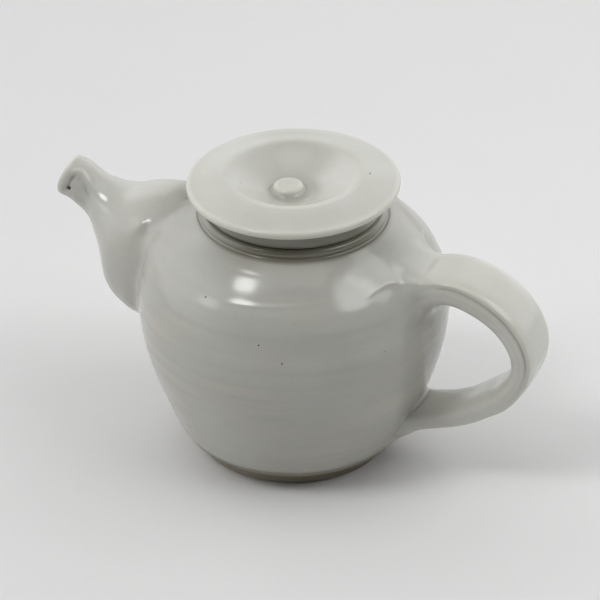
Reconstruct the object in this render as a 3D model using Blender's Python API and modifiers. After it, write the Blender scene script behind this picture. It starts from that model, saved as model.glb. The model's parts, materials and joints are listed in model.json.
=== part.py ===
"""A hand-thrown stoneware teapot with a sunken-knob lid, built as the seven clay pieces a potter joins.

Metres, +Z up. The handle points along +X and the spout along -X, so XZ is the pot's mirror plane.
The origin is on the ground, in the middle of the length; the axis that the pot was thrown on is at POT_X.
Every turned piece is a profile of (radius, height) points spun about that axis. The spout and the
handle are lofts: cross-sections carried along a path in the XZ plane.
"""

import math

import bmesh
import bpy
import numpy as np

MM = 0.001

POT_X = -1.83 * MM         # the throwing axis
GAP = 0.3 * MM             # slip joint between two pieces

WALL = 5.0 * MM            # thickness of the thrown wall
FLOOR = 6.0 * MM           # thickness of the pot's floor
FOOT_HEIGHT = 6.2 * MM
FOOT_RADIUS = 42.3 * MM    # outer edge of the foot on the table
FOOT_WIDTH = 6.0 * MM

LIP_RADIUS = 38.5 * MM     # middle of the rounded lip
LIP_ROUND = 2.2 * MM       # half its thickness
LIP_TOP = 117.5 * MM

LID_RADIUS = 46.0 * MM
LID_EDGE_HEIGHT = 127.7 * MM
LID_EDGE_ROUND = 1.85 * MM
LID_WALL = 4.6 * MM
WELL_RADIUS = 27.6 * MM    # crest round the finger well
WELL_CREST = 133.0 * MM
WELL_FLOOR = 123.8 * MM
DRUM_RADIUS = 38.6 * MM    # the lid's seat on the lip
DRUM_INSIDE = 29.6 * MM
SKIRT_OUTSIDE = 34.9 * MM
SKIRT_INSIDE = 30.6 * MM
SKIRT_DEPTH = 10.0 * MM
KNOB_TOP = 127.4 * MM
KNOB_RADIUS = 7.9 * MM
KNOB_PLACE = (-2.0 * MM, -0.8 * MM)  # it was set a little off the middle

HOLE_RADIUS = 2.8 * MM     # strainer holes
HOLE_PITCH = 9.5 * MM
HOLE_HEIGHT = 82.0 * MM

STEPS = 60                 # facets round the pot

# Outside of the thrown wall from the neck down to the foot: radius, height.
BODY_OUTLINE = [
    (41.9, 113.3), (48.8, 108.4), (55.6, 102.0), (61.9, 94.4), (66.6, 83.4), (68.1, 71.6),
    (66.4, 54.6), (61.0, 35.0), (53.2, 15.8), (49.6, 9.4), (44.6, 6.5),
]

# The handle from its shoulder root to its lower root: distance from the axis, height, thickness, width.
HANDLE_STATIONS = [
    (50.0, 91.4, 17.4, 30.0), (57.0, 92.1, 15.0, 28.8), (66.2, 93.9, 14.4, 28.4), (72.0, 95.5, 14.4, 28.6),
    (79.0, 95.7, 14.4, 28.7), (86.2, 93.9, 14.4, 28.6), (93.4, 90.6, 14.1, 28.4), (100.4, 85.5, 13.5, 28.3),
    (106.0, 78.3, 12.7, 28.0), (109.0, 70.1, 11.8, 27.6), (108.5, 61.7, 10.9, 27.3), (105.0, 54.2, 10.6, 27.0),
    (99.9, 47.2, 10.5, 26.8), (93.1, 41.9, 10.2, 26.3), (86.3, 36.8, 9.8, 25.4), (78.7, 32.7, 9.4, 24.6),
    (70.8, 29.8, 9.6, 24.4), (62.7, 27.3, 10.6, 25.4), (55.0, 24.0, 14.0, 28.6), (46.0, 20.0, 19.0, 31.0),
]
HANDLE_SQUARENESS = 3.2    # 2 is an oval section, higher is more like a strap
HANDLE_SIDES = 16

# The spout from inside the wall to its tip: its upper line and its lower line, each as distance from the axis and
# height, and its half width.
SPOUT_STATIONS = [
    (40.0, 110.5, 46.0, 38.0, 25.0), (52.0, 114.2, 57.0, 43.5, 25.5), (59.0, 113.8, 65.5, 47.5, 25.8),
    (68.0, 111.9, 74.0, 50.8, 25.3), (77.0, 108.8, 83.2, 59.5, 22.4), (84.5, 108.9, 89.2, 77.0, 15.5),
    (92.0, 111.2, 96.0, 90.5, 10.4), (98.4, 115.2, 104.1, 97.0, 9.7), (103.7, 117.3, 110.4, 99.1, 9.4),
]
SPOUT_WALL_ROOT = 5.0 * MM
SPOUT_WALL_TIP = 3.0 * MM
SPOUT_SIDES = 24


# Curves and profiles

def smooth(points, per_span):
    """A Catmull-Rom curve through the points, with per_span samples in each gap between two of them."""
    knots = np.asarray(points, float)
    before = 2 * knots[0] - knots[1]
    after = 2 * knots[-1] - knots[-2]
    padded = np.vstack([before, knots, after])
    t = np.linspace(0.0, 1.0, per_span, endpoint=False)[:, None]
    spans = []
    for i in range(len(knots) - 1):
        a, b, c, d = padded[i:i + 4]
        spans.append(0.5 * (2 * b + (c - a) * t + (2 * a - 5 * b + 4 * c - d) * t**2
                            + (3 * b - a - 3 * c + d) * t**3))
    return np.vstack(spans + [knots[-1:]])


def arc(centre_radius, centre_height, size, start, end, count):
    """Points on a circle, with angles in degrees from the outward direction towards +Z."""
    angles = np.radians(np.linspace(start, end, count))
    return np.column_stack([centre_radius + size * np.cos(angles), centre_height + size * np.sin(angles)])


def moved_out(profile, distance):
    """The profile moved along its normals: outwards for one that runs down the outer side."""
    along = np.gradient(profile, axis=0)
    along /= np.linalg.norm(along, axis=1)[:, None]
    return profile + distance * np.column_stack([-along[:, 1], along[:, 0]])


# Blender objects

def new_material(name, colour, roughness):
    material = bpy.data.materials.new(name)
    material.use_nodes = True
    shader = material.node_tree.nodes["Principled BSDF"]
    shader.inputs["Base Color"].default_value = (*colour, 1.0)
    shader.inputs["Roughness"].default_value = roughness
    shader.inputs["Metallic"].default_value = 0.0
    return material


def new_collection(name):
    collection = bpy.data.collections.new(name)
    bpy.context.scene.collection.children.link(collection)
    return collection


def new_object(name, mesh, collection, material=None):
    piece = bpy.data.objects.new(name, mesh)
    collection.objects.link(piece)
    piece.location = (POT_X, 0.0, 0.0)
    if material is not None:
        mesh.materials.append(material)
    return piece


def turned(name, profile, collection, material=None, closed=False, steps=STEPS):
    """A solid of revolution. The profile runs down its outer side; a closed one is a ring's section."""
    count = len(profile)
    edges = [(i, i + 1) for i in range(count - 1)]
    if closed:
        edges.append((count - 1, 0))
    mesh = bpy.data.meshes.new(name)
    mesh.from_pydata([(r, 0.0, z) for r, z in profile], edges, [])
    piece = new_object(name, mesh, collection, material)
    screw = piece.modifiers.new("Turn", "SCREW")
    screw.angle = 2 * math.pi
    screw.steps = steps
    screw.render_steps = steps
    screw.use_merge_vertices = True
    screw.merge_threshold = 0.00001
    screw.use_smooth_shade = True
    return piece


def loft(name, rings, collection, material=None, hollow=False):
    """Rings of points joined in order: a solid with an end cap at each end, or a tube closed on itself."""
    count, sides = rings.shape[:2]
    mesh = bpy.data.meshes.new(name)
    built = bmesh.new()
    points = [[built.verts.new(point) for point in ring] for ring in rings]
    pairs = [(i, i + 1) for i in range(count - 1)]
    if hollow:
        pairs.append((count - 1, 0))
    else:
        built.faces.new(points[0])
        built.faces.new(points[-1])
    for i, j in pairs:
        for k in range(sides):
            built.faces.new([points[i][k], points[i][k - 1], points[j][k - 1], points[j][k]])
    bmesh.ops.recalc_face_normals(built, faces=built.faces)
    built.to_mesh(mesh)
    built.free()
    mesh.shade_smooth()
    return new_object(name, mesh, collection, material)


def cut(piece, cutter):
    boolean = piece.modifiers.new("Cut " + cutter.name, "BOOLEAN")
    boolean.operation = "DIFFERENCE"
    boolean.solver = "EXACT"
    if isinstance(cutter, bpy.types.Collection):
        boolean.operand_type = "COLLECTION"
        boolean.collection = cutter
    else:
        boolean.object = cutter


def as_cutter(piece):
    piece.hide_render = True
    piece.display_type = "WIRE"
    return piece


# Cross-sections

def strap_sections(path, thickness, width):
    """A superellipse for each point of a path in the XZ plane, square to the path."""
    along = np.gradient(path, axis=0)
    along /= np.linalg.norm(along, axis=1)[:, None]
    angle = np.linspace(0.0, 2 * math.pi, HANDLE_SIDES, endpoint=False)
    up = np.sign(np.cos(angle)) * np.abs(np.cos(angle)) ** (2 / HANDLE_SQUARENESS)
    across = np.sign(np.sin(angle)) * np.abs(np.sin(angle)) ** (2 / HANDLE_SQUARENESS)
    x = path[:, :1] - along[:, 1:] * thickness[:, None] / 2 * up
    z = path[:, 1:] + along[:, :1] * thickness[:, None] / 2 * up
    y = width[:, None] / 2 * across
    return np.stack([x, y, z], axis=-1)


def spout_sections(upper, lower, half_width, wall):
    """An oval between each point of the upper line and its partner on the lower line, wall inside the surface."""
    middle, half = (upper + lower) / 2, (upper - lower) / 2
    half_height = np.linalg.norm(half, axis=1)
    angle = np.linspace(0.0, 2 * math.pi, SPOUT_SIDES, endpoint=False)
    up = np.cos(angle) * (1 - wall / half_height)[:, None]
    across = (half_width - wall)[:, None] * np.sin(angle)
    return np.stack([-middle[:, :1] - half[:, :1] * up, across, middle[:, 1:] + half[:, 1:] * up], axis=-1)


# The pieces

def body_outside():
    return smooth(np.array(BODY_OUTLINE) * MM, 2)


def make_body(parts, holes, glaze):
    """The pot: floor, thrown wall and rounded lip, with strainer holes behind the spout."""
    outside = body_outside()
    lip = arc(LIP_RADIUS, LIP_TOP - LIP_ROUND, LIP_ROUND, 180.0, -20.0, 8)
    inside = moved_out(outside, -WALL)[2:-4][::-1]
    floor_top = FOOT_HEIGHT + GAP + FLOOR
    profile = np.vstack([
        [(0.0, floor_top), (0.72 * FOOT_RADIUS, floor_top)],
        inside,
        lip,
        outside,
        [(0.0, FOOT_HEIGHT + GAP)],
    ])
    body = turned("pot_body", profile, parts, glaze)
    cut(body, holes)
    return body


def make_holes(cutters):
    """One hole in the middle and six round it, through the wall towards the spout."""
    places = [(0.0, 0.0)]
    for i in range(6):
        angle = math.radians(60 * i)
        places.append((HOLE_PITCH * math.cos(angle), HOLE_PITCH * math.sin(angle)))
    for i, (across, up) in enumerate(places):
        bpy.ops.mesh.primitive_cylinder_add(
            vertices=12, radius=HOLE_RADIUS, depth=30 * MM,
            location=(POT_X - 65 * MM, across, HOLE_HEIGHT + up), rotation=(0.0, math.pi / 2, 0.0))
        hole = as_cutter(bpy.context.object)
        hole.name = f"strainer_hole_{i}"
        for collection in list(hole.users_collection):
            collection.objects.unlink(hole)
        cutters.objects.link(hole)


def make_foot(parts, clay):
    """The ring that the pot stands on, flaring a little to its top."""
    outer, inner = FOOT_RADIUS, FOOT_RADIUS - FOOT_WIDTH
    profile = [
        (inner - 1.2 * MM, FOOT_HEIGHT), (outer + 1.6 * MM, FOOT_HEIGHT), (outer + 0.5 * MM, 0.5 * FOOT_HEIGHT),
        (outer, 0.5 * MM), (outer - 0.5 * MM, 0.0), (inner + 0.5 * MM, 0.0), (inner, 0.5 * MM),
    ]
    return turned("foot_ring", profile, parts, clay, closed=True)


def make_envelope(cutters):
    """The body's outside grown by the joint's gap, which shapes the roots of the spout and the handle."""
    grown = moved_out(body_outside(), GAP)
    profile = np.vstack([[(0.0, grown[0, 1] + GAP)], grown, [(0.0, grown[-1, 1])]])
    return as_cutter(turned("body_envelope", profile, cutters))


def make_spout(parts, envelope, glaze):
    stations = smooth(np.array(SPOUT_STATIONS) * MM, 2)
    upper, lower, half_width = stations[:, :2], stations[:, 2:4], stations[:, 4]
    wall = np.linspace(SPOUT_WALL_ROOT, SPOUT_WALL_TIP, len(stations))
    outer = spout_sections(upper, lower, half_width, np.zeros(len(stations)))
    inner = spout_sections(upper, lower, half_width, wall)
    middle = (upper + lower)[-2:] / 2
    direction = (middle[1] - middle[0]) / np.linalg.norm(middle[1] - middle[0])
    lip_out = 0.45 * SPOUT_WALL_TIP
    lip = 0.5 * (outer[-1] + inner[-1]) + lip_out * np.array([-direction[0], 0.0, direction[1]])
    rings = np.concatenate([outer, lip[None], inner[::-1]])
    spout = loft("spout", rings, parts, glaze, hollow=True)
    cut(spout, envelope)
    return spout


def make_handle(parts, envelope, glaze):
    stations = smooth(np.array(HANDLE_STATIONS) * MM, 2)
    rings = strap_sections(stations[:, :2], stations[:, 2], stations[:, 3])
    handle = loft("handle", rings, parts, glaze)
    cut(handle, envelope)
    return handle


def make_lid(parts, glaze):
    """The lid's origin is on the pot's axis at the lip, where it lifts from. Heights are taken from there."""
    well = smooth(np.array([(0.35, 0.0), (0.45, 0.06), (0.58, 0.27), (0.74, 0.57), (0.87, 0.82), (0.94, 0.93),
                            (1.0, 1.0)])
                  * (WELL_RADIUS, WELL_CREST - WELL_FLOOR) + (0.0, WELL_FLOOR), 2)
    dome = smooth(np.array([(WELL_RADIUS, WELL_CREST), (31.0 * MM, 132.5 * MM), (38.0 * MM, 130.7 * MM),
                            (LID_RADIUS - LID_EDGE_ROUND, LID_EDGE_HEIGHT + LID_EDGE_ROUND)]), 2)
    edge = arc(LID_RADIUS - LID_EDGE_ROUND, LID_EDGE_HEIGHT, LID_EDGE_ROUND, 50.0, -90.0, 5)
    seat = LIP_TOP + GAP
    under = [(DRUM_RADIUS + 2.0 * MM, LID_EDGE_HEIGHT - 2.3 * MM), (DRUM_RADIUS + 0.3 * MM, LID_EDGE_HEIGHT - 3.8 * MM),
             (DRUM_RADIUS, seat + 1.2 * MM), (DRUM_RADIUS - 1.2 * MM, seat), (DRUM_INSIDE, seat),
             (DRUM_INSIDE, seat + 7.0 * MM), (DRUM_INSIDE - 2.2 * MM, seat + 8.6 * MM)]
    bowl = moved_out(well, -LID_WALL)[:7][::-1]
    profile = np.vstack([
        [(0.0, WELL_FLOOR)], well, dome[1:], edge, under, bowl, [(0.0, WELL_FLOOR - LID_WALL)],
    ])
    lid = turned("lid_plate", profile - (0.0, LIP_TOP), parts, glaze, steps=48)
    lid.location.z = LIP_TOP
    return lid


def make_skirt(parts, clay):
    """The locating ring under the lid, which drops inside the lip."""
    top = LIP_TOP
    bottom = top - SKIRT_DEPTH
    bevel = 0.8 * MM
    profile = np.array([
        (SKIRT_INSIDE, top), (SKIRT_OUTSIDE, top), (SKIRT_OUTSIDE, bottom + bevel),
        (SKIRT_OUTSIDE - bevel, bottom), (SKIRT_INSIDE + bevel, bottom), (SKIRT_INSIDE, bottom + bevel),
    ])
    skirt = turned("lid_skirt", profile - (0.0, LIP_TOP), parts, clay, closed=True, steps=48)
    skirt.location.z = LIP_TOP
    return skirt


def make_knob(parts, glaze):
    base = WELL_FLOOR + GAP
    height = KNOB_TOP - base
    shape = smooth([(0.43, 1.0), (0.62, 0.93), (0.78, 0.67), (0.90, 0.34), (1.0, 0.0)], 2)
    profile = np.vstack([[(0.0, KNOB_TOP)], shape * (KNOB_RADIUS, height) + (0.0, base), [(0.0, base)]])
    knob = turned("lid_knob", profile - (0.0, LIP_TOP), parts, glaze, steps=36)
    knob.location = (POT_X + KNOB_PLACE[0], KNOB_PLACE[1], LIP_TOP)
    return knob


def main():
    for old in list(bpy.data.objects):
        bpy.data.objects.remove(old)
    parts = new_collection("lidded teapot")
    cutters = new_collection("cutters")
    holes = new_collection("strainer holes")
    glaze = (0.60, 0.60, 0.56)
    clay = (0.42, 0.38, 0.31)
    make_holes(holes)
    envelope = make_envelope(cutters)
    make_body(parts, holes, new_material("body glaze", glaze, 0.22))
    make_foot(parts, new_material("foot clay", clay, 0.65))
    make_spout(parts, envelope, new_material("spout glaze", glaze, 0.22))
    make_handle(parts, envelope, new_material("handle glaze", glaze, 0.22))
    make_lid(parts, new_material("lid glaze", glaze, 0.22))
    make_skirt(parts, new_material("skirt clay", clay, 0.65))
    make_knob(parts, new_material("knob glaze", glaze, 0.22))


main()
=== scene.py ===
import json
import math

import bmesh
import bpy
import numpy as np
from mathutils import Matrix, Vector

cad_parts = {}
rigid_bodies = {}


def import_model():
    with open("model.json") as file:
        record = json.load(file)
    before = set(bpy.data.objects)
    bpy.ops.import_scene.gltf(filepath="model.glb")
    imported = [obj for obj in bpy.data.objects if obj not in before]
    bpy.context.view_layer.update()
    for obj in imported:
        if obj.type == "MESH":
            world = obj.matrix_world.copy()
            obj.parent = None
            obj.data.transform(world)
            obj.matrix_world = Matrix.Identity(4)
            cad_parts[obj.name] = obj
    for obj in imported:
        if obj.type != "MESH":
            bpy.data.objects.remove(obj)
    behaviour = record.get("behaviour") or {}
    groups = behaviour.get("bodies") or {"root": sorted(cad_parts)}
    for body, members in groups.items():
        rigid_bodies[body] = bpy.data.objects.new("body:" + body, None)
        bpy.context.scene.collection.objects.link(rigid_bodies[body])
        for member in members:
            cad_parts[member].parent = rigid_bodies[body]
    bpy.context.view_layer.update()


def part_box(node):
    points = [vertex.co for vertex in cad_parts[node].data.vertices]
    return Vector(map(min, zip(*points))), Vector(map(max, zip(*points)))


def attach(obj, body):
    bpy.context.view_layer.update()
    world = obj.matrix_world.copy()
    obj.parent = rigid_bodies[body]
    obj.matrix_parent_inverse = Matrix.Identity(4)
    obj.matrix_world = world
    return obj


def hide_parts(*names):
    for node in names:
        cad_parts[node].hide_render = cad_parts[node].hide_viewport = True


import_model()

# A hand-thrown, glazed teapot. Each fired piece is one computed surface that stands for its CAD solid.
# Metres, +Z up, handle along +X, spout along -X. Dictionaries hold millimetres and degrees.

scene = bpy.context.scene
mm = 0.001

footLow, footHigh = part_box("foot_ring")
potX = (footLow.x + footHigh.x) / 2  # the axis that the pot was thrown on

view = {
    "azimuth": 22.9, "elevation": 31.97, "distance": 1489.5, "lens": 204, "sensor": 36,
    "aimHeight": 68.5, "aimRight": 2.87, "farthest": 20,  # the last one is in metres
}
viewTurn = math.radians(view["azimuth"])
viewRight = np.array([math.cos(viewTurn), math.sin(viewTurn), 0])


# Surfaces

def lengthAlong(path):
    # the distance from a path's first point to each of its points
    return np.append(0, np.cumsum(np.hypot(*np.diff(path[:, :2], axis=0).T)))


def resampled(path, pace, count):
    even = np.linspace(0, pace[-1], count)
    return np.column_stack([np.interp(even, pace, column) for column in path.T])


def curveThrough(knots, count):
    # Catmull-Rom curve through the knots, resampled at count points an equal length apart.
    # Any columns after the first two are carried along with the points.
    steps = 40
    knots = np.asarray(knots, float)
    padded = np.vstack([2 * knots[0] - knots[1], knots, 2 * knots[-1] - knots[-2]])
    span = np.arange(len(knots) - 1).repeat(steps)
    t = np.tile(np.linspace(0, 1, steps, endpoint=False), len(knots) - 1)[:, None]
    a, b, c, d = (padded[span + k] for k in range(4))
    fine = 0.5 * (2 * b + (c - a) * t + (2 * a - 5 * b + 4 * c - d) * t**2 + (3 * b - a - 3 * c + d) * t**3)
    fine = np.vstack([fine, knots[-1:]])
    return resampled(fine, lengthAlong(fine), count)


def crowded(path, count, middle, spread, amount):
    # the same curve with its points closer together where its second column is near middle
    density = 1 + amount * bell(path[:, 1], middle, spread)
    steps = np.diff(lengthAlong(path)) * (density[1:] + density[:-1]) / 2
    return resampled(path, np.append(0, np.cumsum(steps)), count)


def arcPoints(centreR, centreZ, size, start, end, count):
    # points on a circle, angles in degrees from outwards towards up
    turn = np.radians(np.linspace(start, end, count))
    return np.column_stack([centreR + size * np.cos(turn), centreZ + size * np.sin(turn)])


def leftOf(path):
    # the unit vector square to the path, on its left
    along = np.gradient(path, axis=0)
    along = along / np.linalg.norm(along, axis=1)[:, None]
    return np.column_stack([-along[:, 1], along[:, 0]])


def smoothStep(x, span):
    low, high = span
    t = np.clip((x - low) / (high - low), 0, 1)
    return t * t * (3 - 2 * t)


def fadeOut(x, span):
    return 1 - smoothStep(x, span)


def band(x, edges):
    # up between the first two edges and down between the last two
    return smoothStep(x, edges[:2]) * fadeOut(x, edges[2:])


def fromAxis(place):
    # a place in millimetres from the pot's axis, as a point in metres
    return Vector(place) * mm + Vector((potX, 0, 0))


def bell(x, middle, reach):
    # a Gaussian: 1 at the middle, 1/e at the reach on either side
    return np.exp(-((x - middle) / reach) ** 2)


def fullTurn(count):
    return np.linspace(0, 2 * math.pi, count, endpoint=False)


def angleFrom(turn, middle):
    # an angle in radians as degrees from middle, from -180 to 180
    return (np.degrees(turn) - middle + 180) % 360 - 180


def roundAxis(points):
    # radius, angle and height about the pot's axis
    x, y, z = points[..., 0] - potX, points[..., 1], points[..., 2]
    return np.hypot(x, y), np.arctan2(y, x), z


def fill(target, key, values, kind=np.float32):
    target.foreach_set(key, np.asarray(values, kind).ravel())


def surfaceMesh(name, grid, attributes=None, closedRows=False, uv=False):
    # grid is rows x columns x 3, and its columns close on themselves. Its rows close too for a ring's
    # section; otherwise the first and the last row are each fanned to their centre, the pole.
    rows, columns = grid.shape[:2]
    points = grid.reshape(-1, 3)
    first = np.arange(rows if closedRows else rows - 1)
    i, j = (index.ravel() for index in np.meshgrid(first, np.arange(columns), indexing="ij"))
    nextRow, nextColumn = (i + 1) % rows, (j + 1) % columns
    quads = np.column_stack([i * columns + j, nextRow * columns + j,
                             nextRow * columns + nextColumn, i * columns + nextColumn])
    fans = np.zeros((0, 3), int)
    if not closedRows:
        ring, last = np.arange(columns), (rows - 1) * columns
        turned = np.roll(ring, -1)
        poles = np.repeat([len(points), len(points) + 1], columns)
        fans = np.column_stack([poles, np.append(ring, last + turned), np.append(turned, last + ring)])
        points = np.vstack([points, grid[0].mean(axis=0), grid[-1].mean(axis=0)])
    mesh = bpy.data.meshes.new(name)
    mesh.vertices.add(len(points))
    fill(mesh.vertices, "co", points)
    mesh.loops.add(quads.size + fans.size)
    fill(mesh.loops, "vertex_index", np.append(quads, fans), np.int32)
    sizes = np.repeat([4, 3], [len(quads), len(fans)])
    mesh.polygons.add(len(sizes))
    fill(mesh.polygons, "loop_start", np.cumsum(sizes) - sizes, np.int32)
    mesh.update(calc_edges=True)
    mesh.shade_smooth()
    for key, values in (attributes or {}).items():
        flat = np.append(np.broadcast_to(values, (rows, columns)), np.zeros(len(points) - rows * columns))
        fill(mesh.attributes.new(key, "FLOAT", "POINT").data, "value", flat)
    if uv:
        u = np.column_stack([i, i + 1, i + 1, i]) / (rows - 1)
        v = np.column_stack([j, j, j + 1, j + 1]) / columns
        corners = np.append(np.stack([u, v], axis=-1), np.zeros(2 * fans.size))
        fill(mesh.uv_layers.new(name="UVMap").data, "uv", corners)
    return mesh


def linked(name, data):
    item = bpy.data.objects.new(name, data)
    scene.collection.objects.link(item)
    return item


def addPiece(name, mesh, material, body, nodes):
    piece = linked(name, mesh)
    mesh.materials.append(material)
    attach(piece, body)
    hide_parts(*nodes)
    print(f"{name}: {len(mesh.polygons)} faces")


def spun(profile, columns, shift=(0, 0), turn=None):
    # the profile (radius, height) turned once about the pot's axis
    turn = fullTurn(columns) if turn is None else turn
    x = potX + shift[0] + profile[:, :1] * np.cos(turn)
    y = shift[1] + profile[:, :1] * np.sin(turn)
    z = np.broadcast_to(profile[:, 1:2], x.shape)
    return np.stack([x, y, z], axis=-1)


# The thrown body

body = {
    "outline": [(41.9, 113.3), (48.8, 108.4), (55.6, 102), (61.9, 94.4), (66.6, 83.4), (68.1, 71.6),
                (66.4, 54.6), (61, 35), (53.2, 15.8), (49.6, 9.4), (46.6, 7.2), (44.4, 6.6)],
    "fillet": [(40.35, 113.9), (40.9, 113.35)],  # from the shoulder to the lip
    "lipLine": [(38.5, 117.5), (39.9, 117.1), (40.6, 116.2), (40.7, 115.2)],
    "lipArc": (38.5, 115.3, 2.2, 180, -35, 22),
    "wall": 5, "insideSpan": (16.6, 110), "insideStep": 4,
    "insideFloor": [(4, 12.6), (16, 12.6)], "insideCorner": [(30, 12.6), (40, 13.2)],
    "insideNeck": [(36.9, 111.4), (36.3, 113.6)], "blendPoints": 8,
    "under": [(43.6, 6.5), (40, 6.5), (20, 6.5), (6, 6.5)],
    "rings": 0.08, "ringPitch": 7.5, "ringHarmonic": (0.35, 1),  # the second wave's share and phase
    "ringWander": [(1.3, 17, 0.7), (0.8, 9.1, 0)],  # size, length, phase
    "ringSwell": (0.6, 0.4, 13, 2),  # even part, size, length, phase
    "ringsLess": 0.6, "ringsLessFrom": (88, 97),
    # amount by the number of waves round the pot; their drift is in radians per metre
    "uneven": {2: 0.2, 3: 0.1, 5: 0.05}, "seed": 4, "drift": 25, "unevenBand": (8, 20, 104, 112),
    # the lower wall stands a little to one side
    "lean": 0.45, "leanAzimuth": 22.9, "leanBand": (8, 30, 60, 100),
    # marks of a finger or a rib: height, half height, depth, azimuth from +X, its reach, rise per degree
    "ledges": [(100.2, 0.75, 0.2, -78, 18, 0.05), (109, 0.8, -0.1, -95, 30, 0),
               (91.2, 1.6, 0.12, -52, 12, 0.03), (88, 1.5, 0.1, -62, 14, 0.04),
               (76.5, 1.8, 0.1, -90, 25, 0.02)],
    # the shoulder is pushed out where the spout was luted on
    "swelling": 8, "swellingSpread": 28, "swellingBand": (84, 104, 104, 112.5),
    # clay wiped sideways from the handle's upper root, less on the far side
    "wing": 1.6, "wingFar": 0.8, "wingSides": (-12, 12),
    "wingEdge": [(8, 98.6), (12, 99.3), (15, 100.1), (18.5, 101.2), (22.3, 101.9), (25.6, 101.7),
                 (29.2, 101), (35, 99.6)],
    "wingSpan": (14, 38), "wingDrop": (0.3, 1.6), "wingFall": 1.3, "wingRise": 14, "wingPoints": 120,
    "specks": [(-16.2, -56.6, 98.5, 0.45), (11.6, -64.7, 86.1, 0.34), (21.9, -63.9, 78.9, 0.42)],
    "bare": (11.4, 12.9),  # the glaze was wiped off below this height, along a line that wavers
    "bareWaves": [(0.3, 3, 0), (0.2, 7, 1)],  # size, waves round the pot, phase
    "rows": 228, "columns": 300, "gathered": 0.6,
    "finePoints": 600, "crowded": (97, 13, 1.4),  # the height at which the rows stand closer
}

outline = crowded(curveThrough(body["outline"], body["finePoints"]), body["rows"], *body["crowded"]) * mm
wallLine = np.vstack([np.array(body["lipLine"] + body["fillet"]) * mm, outline])[::-1]


def wallAt(turn, z):
    # the wall's radius, up to the top of the lip
    return np.interp(z, wallLine[:, 1], wallLine[:, 0]) + wallPush(turn, z)


def wallPush(turn, z):
    # how far the thrown wall stands off its plain turned outline, along the radius: finger rings, slow waves,
    # a lean to one side, marks that are Gaussian in height and azimuth, and the swelling under the spout
    height = z / mm
    rings = throwingRings(turn, height)
    rings = rings * (1 - body["ringsLess"] * smoothStep(height, body["ringsLessFrom"]))
    push = (wobble(turn, z) + rings) * band(height, body["unevenBand"])
    lean = np.cos(np.radians(angleFrom(turn, body["leanAzimuth"]))) * band(height, body["leanBand"])
    push = push + body["lean"] * mm * lean
    for level, spread, depth, middle, reach, climb in body["ledges"]:
        aside = angleFrom(turn, middle)
        push = push + depth * mm * bell(height - climb * aside, level, spread) * bell(aside, 0, reach)
    swelling = band(height, body["swellingBand"]) * bell(angleFrom(turn, 180), 0, body["swellingSpread"])
    return push + body["swelling"] * mm * swelling + handleWing(turn, height)


def wobble(turn, z):
    # low, slow unevenness of a thrown wall: a few sine waves round the pot whose phase drifts with height
    random = np.random.default_rng(body["seed"])
    total = np.zeros(np.broadcast(turn, z).shape)
    for waves, amount in body["uneven"].items():
        phase, drift = random.uniform(0, 2 * math.pi), random.uniform(-body["drift"], body["drift"])
        total = total + amount * mm * np.sin(waves * turn + phase + drift * z)
    return total


def handleWing(turn, height):
    # a thin ledge on both sides of the handle's upper root: above its edge it falls as the square of what is
    # left of its rise, and below it as an exponential of a power of the distance
    around = angleFrom(turn, 0)
    size = body["wing"] + (body["wingFar"] - body["wing"]) * smoothStep(around, body["wingSides"])
    size = size * fadeOut(np.abs(around), body["wingSpan"])
    over = overWing(around, height)
    drop = body["wingDrop"][0] + body["wingDrop"][1] * size
    above = np.clip(1 - over / body["wingRise"], 0, 1) ** 2
    return size * mm * np.where(over > 0, above, np.exp(-(np.abs(over / drop) ** body["wingFall"])))


def overWing(around, height):
    # how far above the ledge's lower edge
    edge = curveThrough(body["wingEdge"], body["wingPoints"])
    return height - np.interp(np.abs(around), edge[:, 0], edge[:, 1])


def aboveWall(points):
    # distance outside the body's wall (the radial gap times the cosine of the wall's slope) and the wall's
    # normal, whose slopes are taken over a few millimetres
    radius, turn, z = roundAxis(points)
    climb, sweep = 1.2 * mm, math.radians(1.5)
    slope = (wallAt(turn, z + climb) - wallAt(turn, z - climb)) / (2 * climb)
    lean = (wallAt(turn + sweep, z) - wallAt(turn - sweep, z)) / (2 * sweep * radius)
    steep = np.sqrt(1 + slope**2 + lean**2)
    cos, sin = np.cos(turn), np.sin(turn)
    normal = np.stack([cos + lean * sin, sin - lean * cos, -slope], axis=-1)
    return (radius - wallAt(turn, z)) / steep, normal / steep[..., None]


def throwingRings(turn, height):
    # a spiral of shallow finger ridges whose spacing and depth wander a little: a sine wave and its harmonic
    wander = sum(size * np.sin(height / length + start) for size, length, start in body["ringWander"])
    phase = 2 * math.pi * (height + wander) / body["ringPitch"] - turn
    even, size, length, start = body["ringSwell"]
    swell = even + size * np.sin(height / length + start)
    share, later = body["ringHarmonic"]
    return body["rings"] * mm * swell * (np.sin(phase) + share * np.sin(2 * phase + later))


luting = {
    "rows": 34, "dip": 0.4, "dipLength": 1, "dipShare": 0.15,
    "limbPasses": 8, "skinPasses": 4, "leastRate": 0.25,
    "maskFade": (0.5, 1.3), "toneFade": (0.1, 1.8),  # shares of the skin's rows
}
bends = {"edge": (0.06, 0.45), "hollow": (0.02, 0.22), "hollowShare": 0.6}  # bend per millimetre


def gridNormals(grid):
    # the cross product of the grid's two directions, which points out of the clay
    alongRows = np.gradient(grid, axis=0)
    around = np.roll(grid, -1, axis=1) - np.roll(grid, 1, axis=1)
    normal = np.cross(alongRows, around)
    return normal / np.maximum(np.linalg.norm(normal, axis=-1, keepdims=True), 1e-12)


def linePoints(values, place):
    # reads a grid between its rows: place gives the row, with a fraction, for each column
    below = np.clip(place.astype(int), 0, len(values) - 2)
    part = (place - below).reshape(place.shape + (1,) * (values.ndim - 2))
    column = np.arange(values.shape[1])
    return values[below, column] * (1 - part) + values[below + 1, column] * part


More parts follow.
